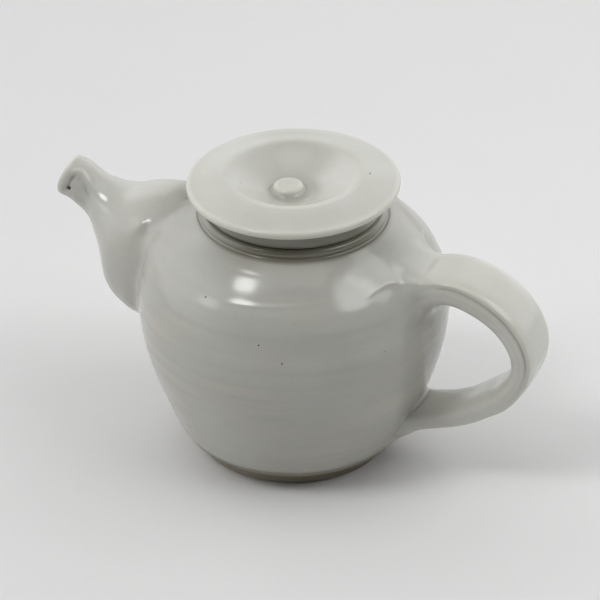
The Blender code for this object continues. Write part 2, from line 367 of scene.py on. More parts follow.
def crossing(gap, level):
    # the first row, with a fraction, at which each column's gap rises above its level
    first = np.maximum((gap > level).argmax(axis=0), 1)
    column = np.arange(gap.shape[1])
    low, high = gap[first - 1, column], gap[first, column]
    return first - 1 + np.clip((level - low) / (high - low + 1e-12), 0, 1)


def spreadFrom(first, rows):
    # places for all rows of a line, evenly between the first and the last row
    return first + (rows - 1 - first) * np.linspace(0, 1, rows)[:, None]


def luted(grid, normals, reach):
    # The root of a limb is smeared onto the body's wall: each line down the limb turns round a fillet, runs
    # out over the wall and dips under its surface. The fillet is the polynomial smooth union of two surfaces
    # that are a and b away: where b - a is u, the nearer one is reach / 4 * (1 - |u| / reach)^2 away.
    rows = len(grid)
    gap, _ = aboveWall(grid)
    root = crossing(gap, 0)[None]
    corner, limbNormal, size = (linePoints(values, root)[0] for values in (grid, normals, reach))
    _, wallNormal = aboveWall(corner)
    cosine = (limbNormal * wallNormal).sum(axis=-1)
    start = crossing(gap, size / 4 * (1 - cosine))
    place = spreadFrom(start, rows)
    limb, facing, sizes = (linePoints(values, place) for values in (grid, normals, reach))
    step = np.where(np.arange(rows)[:, None] == 0, sizes / 4, 0)
    for _ in range(luting["limbPasses"]):
        away, wallFacing = aboveWall(limb + facing * step[..., None])
        inside = np.clip(1 - (away - step) / sizes, 0, 1)
        rate = inside / 2 * (1 - (facing * wallFacing).sum(axis=-1))
        step = step - (step - sizes / 4 * inside**2) / np.maximum(1 - rate, luting["leastRate"])
    limb = limb + facing * step[..., None]
    beyond = luting["dipLength"] * mm + luting["dipShare"] * size
    u = np.linspace(0, 1, luting["rows"], endpoint=False)[::-1, None]
    u = (u + 1 / luting["rows"]) * (size + beyond)  # towards the wall
    near = np.clip(1 - u / size, 0, 1) ** 2
    lift = np.where(u < size, size / 4 * near, -luting["dip"] * mm * ((u - size) / beyond) ** 2)
    offLimb = (lift + u)[..., None]
    offWall, cosine = lift[..., None], cosine[:, None]
    alongLimb = (offLimb - offWall * cosine) / (1 - cosine**2)
    alongWall = (offWall - offLimb * cosine) / (1 - cosine**2)
    skin = corner + alongLimb * limbNormal + alongWall * wallNormal
    edge = corner + (size / 4)[:, None] / (1 + cosine) * (limbNormal + wallNormal)
    skin = skin + (limb[0] - edge) * near[..., None]
    for _ in range(luting["skinPasses"]):
        away, wallFacing = aboveWall(skin)
        skin = skin + wallFacing * (lift - away)[..., None]
    return np.concatenate([skin, limb])


def bendOf(grid, spread=3):
    # how sharply the surface bends, per millimetre, above 0 on an edge and below 0 in a hollow: the change of
    # direction along both ways of the grid against the normal, averaged over a few neighbours
    normals = gridNormals(grid)
    total = np.zeros(grid.shape[:2])
    for axis in (0, 1):
        ahead, behind = np.roll(grid, -1, axis=axis) - grid, grid - np.roll(grid, 1, axis=axis)
        far, near = (np.linalg.norm(step, axis=-1, keepdims=True) + 1e-7 for step in (ahead, behind))
        turnBy = ((ahead / far - behind / near) * normals).sum(axis=-1)
        total -= turnBy * mm * 2 / (far + near)[..., 0]
    total[[0, -1]] = 0
    total = np.clip(total, -1, 1)
    for axis in (0, 1):
        total = sum(np.roll(total, k, axis=axis) for k in range(-spread, spread + 1)) / (2 * spread + 1)
    return total


def glazeMasks(grid):
    # where the glaze runs thin over edges and gathers in hollows, from 0 to 1
    bend = bendOf(grid)
    pool = bends["hollowShare"] * smoothStep(-bend, bends["hollow"])
    return {"edge": smoothStep(bend, bends["edge"]), "pool": pool}


def limbMasks(grid, bothEnds=False):
    # the same, fading out where the limb's skin runs out over the wall
    row = np.arange(len(grid))[:, None] / luting["rows"]
    if bothEnds:
        row = np.minimum(row, row[::-1])
    masks = {key: mask * smoothStep(row, luting["maskFade"]) for key, mask in glazeMasks(grid).items()}
    masks["own"] = smoothStep(row, luting["toneFade"])  # 0 where it has the body's tone
    return masks


# Painted shade under the lid's flange: the neck, the lid's drum and the shoulder are darkened, most on the
# side that faces the camera
neckShading = {
    "middle": -64, "reach": (38, 78),  # azimuth from +X towards the camera, where the painted shade is darkest, and where it fades to its least
    "band": (111.6, 114, 126.6, 127.8), "radii": (35, 45.6), "least": 0.35,
    # painted shade on the shoulder just under the flange
    "shoulder": 0.13, "shoulderBand": (101, 111, 114, 116),
    "thinLess": 0.8, "thinBeyond": 43,  # where the glaze can run thin over an edge
    "wingGlint": 0.42, "wingSpan": (24, 31),  # a painted highlight along the ledge beside the handle, where the glaze also runs thin
}


def neckMasks(grid):
    # the same, with painted shade under the lid's flange on the neck, the lid's drum and the shoulder,
    # darkest towards the camera, over glaze partly pooled in the gap
    masks = glazeMasks(grid)
    radius, turn, z = roundAxis(grid)
    radius, height, around = radius / mm, z / mm, angleFrom(turn, 0)
    inner, outer = neckShading["radii"]
    neck = band(height, neckShading["band"]) * (radius > inner) * (radius < outer)
    # painted shade: darkest on the side that faces the camera, fading to its least at the sides
    front = fadeOut(np.abs(angleFrom(turn, neckShading["middle"])), neckShading["reach"])
    shoulder = neckShading["shoulder"] * band(height, neckShading["shoulderBand"])
    neck = np.maximum(neck * (neckShading["least"] + (1 - neckShading["least"]) * front), shoulder * front)
    masks["pool"] = np.maximum(masks["pool"], neck)
    masks["edge"] = masks["edge"] * (1 - neckShading["thinLess"] * neck) * (radius > neckShading["thinBeyond"])
    # painted highlight: a thin pale line along the ledge's edge, on glaze that runs thin there
    wing = bell(overWing(around, height), 0, neckShading["wingGlint"])
    wing = wing * fadeOut(np.abs(around), neckShading["wingSpan"])
    masks["edge"] = np.maximum(masks["edge"], wing)
    waver = sum(size * np.sin(waves * turn + phase) for size, waves, phase in body["bareWaves"])
    masks["bare"] = fadeOut(height + waver, body["bare"])
    return masks


def bodyGrid():
    # profile: floor centre, up the inside, over the lip, down the outside, under the base
    inside = outline - leftOf(outline) * body["wall"] * mm
    lowest, highest = (height * mm for height in body["insideSpan"])
    inside = inside[(inside[:, 1] > lowest) & (outline[:, 1] < highest)][::-body["insideStep"]]
    lip = arcPoints(*body["lipArc"]) * mm
    count = body["blendPoints"]
    corner = curveThrough([*body["insideCorner"], inside[0] / mm], count)[:-1] * mm
    neck = curveThrough([inside[-1] / mm, *body["insideNeck"], lip[0] / mm], count)[1:-1] * mm
    fillet = curveThrough([lip[-1] / mm, *body["fillet"], outline[0] / mm], count)[1:-1] * mm
    floor, under = (np.array(body[key]) * mm for key in ("insideFloor", "under"))
    profile = np.vstack([floor, corner, inside, neck, lip, fillet, outline, under])
    # the columns stand closer at the handle and the spout
    turn = fullTurn(body["columns"])[None, :]
    turn = turn - body["gathered"] / 2 * np.sin(2 * turn)
    grid = spun(profile, body["columns"], turn=turn)
    push = wallPush(turn, grid[..., 2])
    grid[..., 0] += push * np.cos(turn)
    grid[..., 1] += push * np.sin(turn)
    return grid


strainer = {
    "holes": 7, "radius": 2.8, "pitch": 9.5, "height": 82, "out": 65, "depth": 30, "sides": 32,
}


def pierced(mesh):
    # the body with round holes through its wall behind the spout, one in the middle and the others in a ring
    drills = bmesh.new()
    size, depth = strainer["radius"] * mm, strainer["depth"] * mm
    for step in range(strainer["holes"]):
        turn, aside = 2 * math.pi * step / (strainer["holes"] - 1), strainer["pitch"] * min(step, 1)
        middle = (-strainer["out"], aside * math.cos(turn), strainer["height"] + aside * math.sin(turn))
        place = Matrix.Translation(fromAxis(middle)) @ Matrix.Rotation(math.pi / 2, 4, "Y")
        bmesh.ops.create_cone(drills, cap_ends=True, segments=strainer["sides"], radius1=size, radius2=size,
                              depth=depth, matrix=place)
    drillMesh = bpy.data.meshes.new("strainerDrills")
    drills.to_mesh(drillMesh)
    drills.free()
    drill, wall = linked("strainerDrills", drillMesh), linked("unpiercedBody", mesh)
    cut = wall.modifiers.new("holes", "BOOLEAN")
    cut.operation, cut.solver, cut.object = "DIFFERENCE", "EXACT", drill
    result = bpy.data.meshes.new_from_object(wall.evaluated_get(bpy.context.evaluated_depsgraph_get()))
    bpy.data.batch_remove((drill, wall, drillMesh, mesh))
    return result


# The handle, a pulled strap

handle = {
    "stations": [  # distance from the axis, height, thickness, width, squareness of the outer corners
        (46, 87, 27, 31, 9), (52, 88.6, 24.6, 29.6, 9), (57, 90, 21.6, 28.8, 9),
        (60.3, 91.2, 19.4, 28.4, 8), (66.2, 93.2, 16.6, 28.4, 6), (72, 95.2, 15, 28.6, 5.5),
        (79, 95.7, 14.4, 28.7, 5), (86.2, 93.9, 14.4, 28.6, 5), (93.4, 90.6, 14.1, 28.4, 5),
        (100.4, 85.5, 13.5, 28.3, 5), (106, 78.3, 12.7, 28, 5), (109, 70.1, 11.8, 27.6, 5),
        (108.5, 61.7, 10.9, 27.3, 5), (105, 54.2, 10.6, 27, 4.8), (99.9, 47.2, 10.5, 26.8, 4.5),
        (93.1, 41.9, 10.2, 26.3, 4.2), (86.3, 36.8, 9.8, 25.4, 4), (78.7, 32.7, 9.4, 24.6, 3.8),
        (70.8, 29.8, 9.6, 24.4, 3.6), (62.7, 27.3, 10.6, 25.4, 3.4), (55, 24, 14, 28.6, 3.2),
        (46, 20, 19, 31, 3)],
    "innerSquareness": 2.4, "cornerBlend": (-0.25, 0.35),
    "squareBelow": 0.9, "squareHeights": (38, 58),  # the lower arm has squarer inner corners
    # the edge left by the hand, and the hollow under it: height, angle from the outer face, reach
    "edge": (0.45, 46, 5), "groove": (-0.85, 59, 8),
    "edgeFrom": (60, 76), "edgeRise": (0, 32), "edgeLean": 0.4,  # where they begin and end
    "smearTop": 9, "smearSide": 8, "smearCorner": 5.5, "smearLow": 2.5,
    "smearBlend": (0.3, 0.8), "smearAngle": (47, 11), "smearHeights": (45, 75),
    "rows": 400, "columns": 160,
}


def strapSections():
    # superellipses square to a path in the XZ plane, |up|^power + |across|^power = 1, with up towards the
    # strap's outer face, and how far each root is smeared onto the body
    stations = curveThrough(handle["stations"], handle["rows"])
    out, high, thick, wide, square = np.hsplit(stations, 5)
    turn = fullTurn(handle["columns"])
    inner = handle["innerSquareness"] + handle["squareBelow"] * fadeOut(high, handle["squareHeights"])
    power = inner + (square - inner) * smoothStep(np.cos(turn), handle["cornerBlend"])
    reach = (np.abs(np.cos(turn)) ** power + np.abs(np.sin(turn)) ** power) ** (-1 / power)
    up, across = reach * np.cos(turn), reach * np.sin(turn)
    fromTop = np.abs(angleFrom(turn, 0))
    bulge = sum(size * bell(fromTop, *place) for size, *place in (handle["edge"], handle["groove"]))
    bulge = bulge * smoothStep(high - handle["edgeLean"] * out, handle["edgeRise"])
    bulge = bulge * smoothStep(out, handle["edgeFrom"])
    left = leftOf(stations[:, :2])
    strap = np.stack([out + left[:, :1] * thick / 2 * up, wide / 2 * across + bulge * np.sin(turn),
                      high + left[:, 1:] * thick / 2 * up], axis=-1) * mm + (potX, 0, 0)
    side, low = handle["smearSide"], handle["smearLow"]
    smear = side + (handle["smearTop"] - side) * smoothStep(np.cos(turn), handle["smearBlend"])
    smear = smear + (handle["smearCorner"] - smear) * bell(fromTop, *handle["smearAngle"])
    return strap, (low + (smear - low) * smoothStep(strap[..., 2] / mm, handle["smearHeights"])) * mm


# The spout

spout = {
    "stations": [  # upper line (out, height), lower line (out, height), half width, narrowing
        (40, 110.5, 46, 38, 25, 0.13), (52, 114.2, 57, 43.5, 25.5, 0.13),
        (59, 113.8, 65.5, 47.5, 25.8, 0.08), (68, 111.9, 74, 50.8, 25.3, 0.08),
        (77, 108.8, 83.2, 59.5, 22.4, 0.08), (84.5, 108.9, 89.2, 77, 15.5, 0.06),
        (92, 111.2, 96, 90.5, 10.4, 0.04), (98.4, 115.2, 104.1, 97, 9.7, 0.02),
        (103.6, 117.2, 110.2, 99, 9.4, 0)],
    "wallRoot": 5, "wallTip": 2.6,
    "smear": 5, "smearLess": 0.7, "smearNeck": (110, 113.5),  # less against the neck
    "tipBow": 0.8,  # how much further the mouth reaches at its sides
    "pinch": 1.1, "pinchBand": (0, 3.5, 11, 22), "flatBand": (-3, 24, 40, 95),
    "pinchEdge": [(0, 54), (1.6, 46), (3.8, 38), (6.4, 35), (9.3, 40), (12.8, 47),
                  (16, 51)],
    "ridge": (-0.25, -3, 6), "groove": (0.15, -16, 6),  # depth, angle from the edge, reach
    "thumb": (1.7, (51, 4.4), (50, 8.5)),  # height, distance from the tip and angle, each with its reach
    "specks": [(-103.6, -8.7, 106.5, 1.05)],
    "rows": 280, "columns": 150, "lipRows": 12, "innerRows": 110,
}


def spoutSections(count, inset, marked=False):
    # ellipses between an upper and a lower line, a little narrower towards the top: the half width is
    # multiplied by 1 - narrowing * cos(angle from the top). Inset is the wall's thickness.
    stations = np.array(spout["stations"])
    middles = (stations[:, 0:2] + stations[:, 2:4]) / 2
    even = curveThrough(np.column_stack([middles, stations]), count)
    upper, lower, wide, narrow = np.split(even[:, 2:], [2, 4, 5], axis=1)
    middle, half = (upper + lower) / 2, (upper - lower) / 2
    size = np.linalg.norm(half, axis=1, keepdims=True)
    turn = fullTurn(spout["columns"])
    if marked:
        steps = np.linalg.norm(np.diff(middle, axis=0), axis=1)
        fromTip = np.append(np.cumsum(steps[::-1])[::-1], 0)[:, None]
        inset = inset + handMarks(fromTip, np.abs(angleFrom(turn, 0)))
    tall = np.cos(turn) * (1 - inset / size)
    out, high = (middle[:, k:k + 1] + half[:, k:k + 1] * tall for k in (0, 1))
    across = (wide - inset) * np.sin(turn) * (1 - narrow * np.cos(turn))
    return np.stack([-out, -across, high], axis=-1) * mm + (potX, 0, 0)


def handMarks(fromTip, angle):
    # how far the wall is pressed in: flats on both sides of the tip, which two fingers left with a sharp
    # upper edge and a narrow groove above it, and a soft swelling near the root
    below = angle - np.interp(fromTip, *np.array(spout["pinchEdge"]).T)
    lines = sum(depth * bell(below, *place) for depth, *place in (spout["ridge"], spout["groove"]))
    marks = spout["pinch"] * band(below, spout["flatBand"]) + lines
    height, away, middle = spout["thumb"]
    swelling = height * bell(fromTip, *away) * bell(angle, *middle)
    return marks * band(fromTip, spout["pinchBand"]) - swelling


def spoutGrid():
    # the outside with its root smeared onto the body, a half round lip, and the bore back into the wall
    outer = spoutSections(spout["rows"], 0, marked=True)
    less = spout["smearLess"] * smoothStep(outer[..., 2] / mm, spout["smearNeck"])
    outer = luted(outer, gridNormals(outer), spout["smear"] * mm * (1 - less))
    wall = np.linspace(spout["wallRoot"], spout["wallTip"], spout["innerRows"])[:, None]
    # the bore's lines start inside the body's wall
    bore = spoutSections(spout["innerRows"], wall)
    start = crossing(aboveWall(bore)[0], -body["wall"] / 2 * mm)
    inner = linePoints(bore, spreadFrom(start, len(bore)))[::-1]
    middle, half = (outer[-1] + inner[0]) / 2, (outer[-1] - inner[0]) / 2
    ahead = (outer[-1] - outer[-4]).mean(axis=0)
    sideways = np.sin(fullTurn(spout["columns"]))[:, None] ** 2
    tip = ahead / np.linalg.norm(ahead) * (spout["wallTip"] / 2 + spout["tipBow"] * sideways) * mm
    bend = np.linspace(0, math.pi, spout["lipRows"] + 2)[1:-1][:, None, None]
    lip = middle + half * np.cos(bend) + tip * np.sin(bend)
    return np.concatenate([outer, lip, inner])


# Foot ring

foot = {
    "outer": [(44, 6.2), (43, 3.41), (42.4, 1)], "inner": [(36.2, 1.2), (35.8, 3.72), (35.1, 6.2)],
    "outside": 42.3, "inside": 36.3, "round": 0.9, "columns": 300,
}


def roundedUnder(inside, outside, bottom, size, count):
    # the lower corners of a ring's section, as quarter circles
    return np.vstack([arcPoints(outside - size, bottom + size, size, 0, -90, count),
                      arcPoints(inside + size, bottom + size, size, -90, -180, count)])


def footGrid():
    # the ring's section turned once about the axis
    section = np.vstack([curveThrough(foot["outer"], 24),
                         roundedUnder(foot["inside"], foot["outside"], 0, foot["round"], 8),
                         curveThrough(foot["inner"], 12)]) * mm
    return spun(section, foot["columns"])


# The lid

lid = {
    "edgeArc": (44.15, 127.7, 1.85, 65, -90, 20),
    "well": [(0.8, 123.8), (8, 123.8), (11.4, 124.2), (15.2, 125.8), (19.5, 128.1), (23.5, 130.3),
             (26.2, 131.7), (28.4, 132.45), (30.6, 132.55)],
    "dome": [(30.6, 132.55), (33, 132.15), (36, 131.45), (41.5, 130), (44.7, 129.42)],
    "under": [(43.6, 125.9), (41.2, 125.3), (39.4, 123.9), (38.85, 121.6), (38.8, 119.2)],
    "inner": [(38.7, 118), (38.3, 117.9), (30.4, 117.85), (29.7, 118.4), (29.6, 125.6), (27.6, 127.4),
              (25.2, 126.6), (21.6, 124.1), (17, 121.2), (13, 119.6), (8, 119.2), (1, 119.2)],
    "points": {"well": 60, "dome": 46, "under": 20, "inner": 60},
    "tilt": 1.24, "tiltFrom": (119, 126),
    "valley": 0.4, "valleySpan": (9.5, 14.5), "valleyAbove": 121,  # painted shade in the well round the knob
    "specks": [(30.5, 12.1, 132.75, 0.5)],
    "columns": 300,
}


def tilted(grid):
    # the flange warped in drying: it rises along viewRight, and only above the drum
    across = (grid[..., 0] - potX) * viewRight[0] + grid[..., 1] * viewRight[1]
    weight = smoothStep(grid[..., 2] / mm, lid["tiltFrom"])
    grid[..., 2] += weight * across * math.tan(math.radians(lid["tilt"]))
    return grid


def lidGrid():
    # profile: the well, the dome, round the edge, and back under the flange and the drum to the axis
    well, dome, under, inner = (curveThrough(lid[key], count) for key, count in lid["points"].items())
    profile = np.vstack([well[:-1], dome[:-1], arcPoints(*lid["edgeArc"]), under, inner]) * mm
    return tilted(spun(profile, lid["columns"]))


knob = {
    "outline": [(0.6, 127.3), (4.4, 127.4), (5.5, 127.2), (6.3, 126.6), (7.1, 125.4), (8.1, 124.4),
                (9.6, 123.9), (11.4, 123.5)],
    "underside": (1, 123.4), "shift": -2.15,
    "gathered": 0.5, "shadedBelow": (124.2, 126.4),  # painted shade round its foot
    "rows": 90, "columns": 128,
}


def knobGrid():
    # the outline turned once about an axis of its own, a little to one side
    profile = np.vstack([curveThrough(knob["outline"], knob["rows"]), [knob["underside"]]]) * mm
    return tilted(spun(profile, knob["columns"], knob["shift"] * mm * viewRight[:2]))


skirt = {"outside": 34.9, "inside": 30.6, "top": 117.5, "bottom": 107.5, "round": 1.2, "columns": 240}


def skirtGrid():
    under = roundedUnder(skirt["inside"], skirt["outside"], skirt["bottom"], skirt["round"], 10)
    section = np.vstack([[(skirt["outside"], skirt["top"])], under, [(skirt["inside"], skirt["top"])]]) * mm
    return spun(section, skirt["columns"])


# Materials

glaze = {
    # the pooled tone darkens hollows where the glaze pools, and is also the painted shade under the lid and
    # round the knob
    "pale": (0.555, 0.556, 0.515), "grey": (0.505, 0.498, 0.456), "pooledAndShaded": (0.17, 0.163, 0.118),
    "thin": (0.655, 0.64, 0.56), "warm": (0.48, 0.462, 0.4), "iron": (0.035, 0.028, 0.02),
    # how light each piece's glaze is, the body darkened as painted shade and the handle lightened as painted
    # light, and how much of the warm tone runs down it
    "depth": {"body": 0.833, "handle": 1.09, "spout": 0.98, "lid": 1, "knob": 1},
    "streaks": {"body": 0.7, "handle": 0.15, "spout": 0.25, "lid": 0.15, "knob": 0},
    "noise": {  # size in millimetres, detail, squash
        "clouds": (34, 3), "bands": (3.2, 2, (0.05, 0.05, 1)), "mottle": (2.2, 4),
        "streaks": (8, 3, (0.14, 0.14, 1)), "smudges": (9, 2, (0.3, 0.3, 1)),
        "peel": (2.6, 1), "slow": (11, 1)},
    "cloudSpan": (0.36, 0.64), "streakSpan": (0.38, 0.66), "smudgeSpan": (0.25, 0.7, (0.75, 1)),
    "tone": {"clouds": 0.65, "bands": 0.5, "mottle": 0.5}, "poolAndShadeShare": 0.92, "thinShare": 0.55,
    "specks": {"fine": (4.2, 0.1, 0.24), "coarse": (11, 0.1, 0.42)},  # spacing, share, size
    "speckShare": {"fine": 0.35, "coarse": 0.55},
    "roughness": 0.1, "rougher": {"mottle": 0.05, "clouds": 0.03}, "ior": 1.5,
    "bump": {"peel": 0.01, "slow": 0.06, "bands": 0.016}, "speckBump": 0.03,  # millimetres
}
clay = {
    "light": (0.33, 0.3, 0.24), "dark": (0.2, 0.176, 0.13),
    "noise": {"patches": (9, 3, (0.3, 0.3, 1)), "grain": (0.7, 3)}, "span": (0.3, 0.7),
    "tone": {"patches": 0.55, "grain": 0.45}, "specks": (2.4, 0.3, 0.3), "speckShare": 0.6,
    "roughness": (0.32, 0.52), "bump": 0.03,
}
speck = {
    "least": 0.35, "rim": (0.1, 0.6),  # the smallest against the chosen size, and how each one fades
    "raggedSize": 0.5, "raggedSpan": (0.3, 0.7, (0.75, 1.25)), "markedRim": (0.7, 1.1, (1, 0)),
}


def nodeOf(tree, kind, inputs=None, **settings):
    # adds a node; an input is given as a value or as the socket that feeds it
    node = tree.nodes.new("ShaderNode" + kind)
    for key, value in settings.items():
        setattr(node, key, value)
    for key, value in (inputs or {}).items():
        if isinstance(value, bpy.types.NodeSocket):
            tree.links.new(value, node.inputs[key])
        else:
            node.inputs[key].default_value = value
    return node


def mathOf(tree, operation, *values):
    return nodeOf(tree, "Math", dict(enumerate(values)), operation=operation).outputs[0]


def timesOf(tree, first, second):
    return mathOf(tree, "MULTIPLY", first, second)


def sumOf(tree, parts, weights, start=None):
    # the parts named by the weights, each times its weight, added up
    total = start
    for key, weight in weights.items():
        term = timesOf(tree, parts[key], weight)
        total = term if total is None else mathOf(tree, "ADD", total, term)
    return total


def rampOf(tree, value, low, high, to=(0, 1)):
    # a smooth step from low to high
    inputs = {"Value": value, "From Min": low, "From Max": high, "To Min": to[0], "To Max": to[1]}
    return nodeOf(tree, "MapRange", inputs, interpolation_type="SMOOTHSTEP").outputs["Result"]


def mixOf(tree, factor, first, second):
    first, second = ((*c, 1) if isinstance(c, tuple) else c for c in (first, second))
    node = nodeOf(tree, "Mix", data_type="RGBA")
    for socket, value in ((node.inputs[0], factor), (node.inputs[6], first), (node.inputs[7], second)):
        if isinstance(value, bpy.types.NodeSocket):
            tree.links.new(value, socket)
        else:
            socket.default_value = value
    return node.outputs[2]


def noiseOf(tree, vector, size, detail=2, squash=(1, 1, 1)):
    # noise whose features are about size millimetres, stretched where squash is under 1
    stretched = nodeOf(tree, "Mapping", {"Vector": vector, "Scale": squash}).outputs[0]
    inputs = {"Vector": stretched, "Scale": 1 / mm / size, "Detail": detail}
    return nodeOf(tree, "TexNoise", inputs).outputs["Fac"]


def newGroup(name, inputs, outputs):
    # inputs and outputs give the kind of each socket by its name
    tree = bpy.data.node_groups.new(name, "ShaderNodeTree")
    for side, sockets in (("INPUT", inputs), ("OUTPUT", outputs)):
        for label, kind in sockets.items():
            tree.interface.new_socket(label, in_out=side, socket_type="NodeSocket" + kind)
    return tree, tree.nodes.new("NodeGroupInput").outputs, tree.nodes.new("NodeGroupOutput").inputs


def groupOf(tree, group, **inputs):
    return nodeOf(tree, "Group", inputs, node_tree=group).outputs


def speckGroup():
    # dark iron specks: one chance in each cell of a Voronoi pattern, kept in a share of the cells
    inputs = {"Vector": "Vector", "Spacing": "Float", "Share": "Float", "Size": "Float"}
    tree, given, wanted = newGroup("ironSpecks", inputs, {"Mask": "Float"})
    scale = mathOf(tree, "DIVIDE", 1 / mm, given["Spacing"])
    cells = nodeOf(tree, "TexVoronoi", {"Vector": given["Vector"], "Scale": scale}).outputs
    chance = nodeOf(tree, "SeparateColor", {"Color": cells["Color"]}).outputs
    kept = mathOf(tree, "LESS_THAN", chance["Red"], given["Share"])
    radius = mathOf(tree, "DIVIDE", given["Size"], given["Spacing"])
    radius = timesOf(tree, radius, mathOf(tree, "ADD", chance["Green"], speck["least"]))
    inputs = {"Value": cells["Distance"], "From Min": 0, "From Max": radius, "To Min": 1, "To Max": 0}
    dot = nodeOf(tree, "MapRange", inputs).outputs["Result"]
    tree.links.new(timesOf(tree, rampOf(tree, dot, *speck["rim"]), kept), wanted["Mask"])
    return tree


def spotGroup():
    # one speck at a chosen place, a little ragged
    inputs = {"Vector": "Vector", "Place": "Vector", "Size": "Float"}
    tree, given, wanted = newGroup("markedSpeck", inputs, {"Mask": "Float"})
    away = nodeOf(tree, "VectorMath", {0: given["Vector"], 1: given["Place"]}, operation="DISTANCE")
    ragged = rampOf(tree, noiseOf(tree, given["Vector"], speck["raggedSize"]), *speck["raggedSpan"])
    ratio = mathOf(tree, "DIVIDE", away.outputs["Value"], timesOf(tree, ragged, given["Size"]))
    tree.links.new(rampOf(tree, ratio, *speck["markedRim"]), wanted["Mask"])
    return tree


surfaceOutputs = {"Color": "Color", "Roughness": "Float", "Height": "Float"}


def glazeGroup(specks):
    # the pale glaze: clouds of two close tones, faint bands round the pot, olive where it pools and where
    # shade is painted under the lid and round the knob, thin over edges, iron specks, and the slow unevenness
    # and fine peel of its surface
    inputs = {"Vector": "Vector", "Pale": "Color", "Grey": "Color", "Pool": "Float", "Edge": "Float",
              "Specks": "Float", "Streaks": "Float"}
    tree, given, wanted = newGroup("paleGlaze", inputs, surfaceOutputs)
    place = given["Vector"]
    noise = {key: noiseOf(tree, place, *values) for key, values in glaze["noise"].items()}
    noise["clouds"] = rampOf(tree, noise["clouds"], *glaze["cloudSpan"])
    mottle = mathOf(tree, "SUBTRACT", noise["mottle"], 0.5)
    tone = sumOf(tree, {**noise, "mottle": mottle}, glaze["tone"])
    color = mixOf(tree, tone, given["Pale"], given["Grey"])
    streaks = timesOf(tree, given["Streaks"], noise["clouds"])
    streaks = timesOf(tree, rampOf(tree, noise["streaks"], *glaze["streakSpan"]), streaks)
    color = mixOf(tree, streaks, color, glaze["warm"])
    # olive in hollows where the glaze pools, and painted shade under the lid and round the knob
    pooledAndShaded = timesOf(tree, given["Pool"], rampOf(tree, noise["smudges"], *glaze["smudgeSpan"]))
    color = mixOf(tree, timesOf(tree, pooledAndShaded, glaze["poolAndShadeShare"]), color, glaze["pooledAndShaded"])
    color = mixOf(tree, timesOf(tree, given["Edge"], glaze["thinShare"]), color, glaze["thin"])
    masks = {key: specksOf(tree, specks, place, *values) for key, values in glaze["specks"].items()}
    dark = mathOf(tree, "ADD", sumOf(tree, masks, glaze["speckShare"]), given["Specks"])
    dark = mathOf(tree, "MINIMUM", dark, 1)
    tree.links.new(mixOf(tree, dark, color, glaze["iron"]), wanted["Color"])
    tree.links.new(sumOf(tree, noise, glaze["rougher"], glaze["roughness"]), wanted["Roughness"])
    pits = timesOf(tree, dark, glaze["speckBump"])
    tree.links.new(mathOf(tree, "SUBTRACT", sumOf(tree, noise, glaze["bump"]), pits), wanted["Height"])
    return tree


def specksOf(tree, specks, place, spacing, share, size):
    return groupOf(tree, specks, Vector=place, Spacing=spacing, Share=share, Size=size)["Mask"]


def clayGroup(specks):
    # bare stoneware: grainy and darker in patches, with iron in it
    tree, given, wanted = newGroup("bareClay", {"Vector": "Vector"}, surfaceOutputs)
    place = given["Vector"]
    noise = {key: noiseOf(tree, place, *values) for key, values in clay["noise"].items()}
    patches = rampOf(tree, noise["patches"], *clay["span"])
    tone = sumOf(tree, {**noise, "patches": patches}, clay["tone"])
    dots = timesOf(tree, specksOf(tree, specks, place, *clay["specks"]), clay["speckShare"])
    color = mixOf(tree, dots, mixOf(tree, tone, clay["light"], clay["dark"]), glaze["iron"])
    tree.links.new(color, wanted["Color"])
    tree.links.new(rampOf(tree, noise["grain"], *clay["span"], clay["roughness"]), wanted["Roughness"])
    tree.links.new(timesOf(tree, noise["grain"], clay["bump"]), wanted["Height"])
    return tree


ironSpecks = speckGroup()
markedSpeck = spotGroup()
paleGlaze = glazeGroup(ironSpecks)
bareClay = clayGroup(ironSpecks)


def newMaterial(name):
    material = bpy.data.materials.new(name)
    material.use_nodes = True
    tree = material.node_tree
    place = tree.nodes.new("ShaderNodeTexCoord").outputs["Object"]
    return material, tree, tree.nodes["Principled BSDF"], place


def finishWith(tree, shader, color, roughness, height):
    # height is in millimetres
    tree.links.new(color, shader.inputs["Base Color"])
    tree.links.new(roughness, shader.inputs["Roughness"])
    bump = nodeOf(tree, "Bump", {"Strength": 1, "Distance": mm, "Height": height})
    tree.links.new(bump.outputs["Normal"], shader.inputs["Normal"])


def maskOf(tree, name):
    return nodeOf(tree, "Attribute", attribute_name=name).outputs["Fac"]


def makeGlaze(piece, spots=()):
    # spots are larger specks: place in millimetres from the pot's axis, and radius
    material, tree, shader, place = newMaterial(piece + "Glaze")
    inputs = {label: maskOf(tree, label.lower()) for label in ("Pool", "Edge")}
    inputs["Streaks"] = glaze["streaks"][piece]
    for label, tone in (("Pale", glaze["pale"]), ("Grey", glaze["grey"])):
        own, ofBody = (tuple(part * glaze["depth"][which] for part in tone) for which in (piece, "body"))
        limb = piece in ("handle", "spout")
        inputs[label] = mixOf(tree, maskOf(tree, "own"), ofBody, own) if limb else (*own, 1)
    for *where, size in spots:
        mark = groupOf(tree, markedSpeck, Vector=place, Place=fromAxis(where), Size=size * mm)["Mask"]
        inputs["Specks"] = mathOf(tree, "MAXIMUM", inputs["Specks"], mark) if "Specks" in inputs else mark
    color, roughness, height = groupOf(tree, paleGlaze, Vector=place, **inputs)
    shader.inputs["IOR"].default_value = glaze["ior"]
    if piece == "body":
        bare = maskOf(tree, "bare")
        bareColor, bareRoughness, bareHeight = groupOf(tree, bareClay, Vector=place)
        color = mixOf(tree, bare, color, bareColor)
        rougher = mathOf(tree, "SUBTRACT", bareRoughness, roughness)
        roughness = mathOf(tree, "MULTIPLY_ADD", rougher, bare, roughness)
        height = mathOf(tree, "MULTIPLY_ADD", bareHeight, bare, height)
    finishWith(tree, shader, color, roughness, height)
    return material


def makeClay(name):
    material, tree, shader, place = newMaterial(name)
    finishWith(tree, shader, *groupOf(tree, bareClay, Vector=place))
    return material


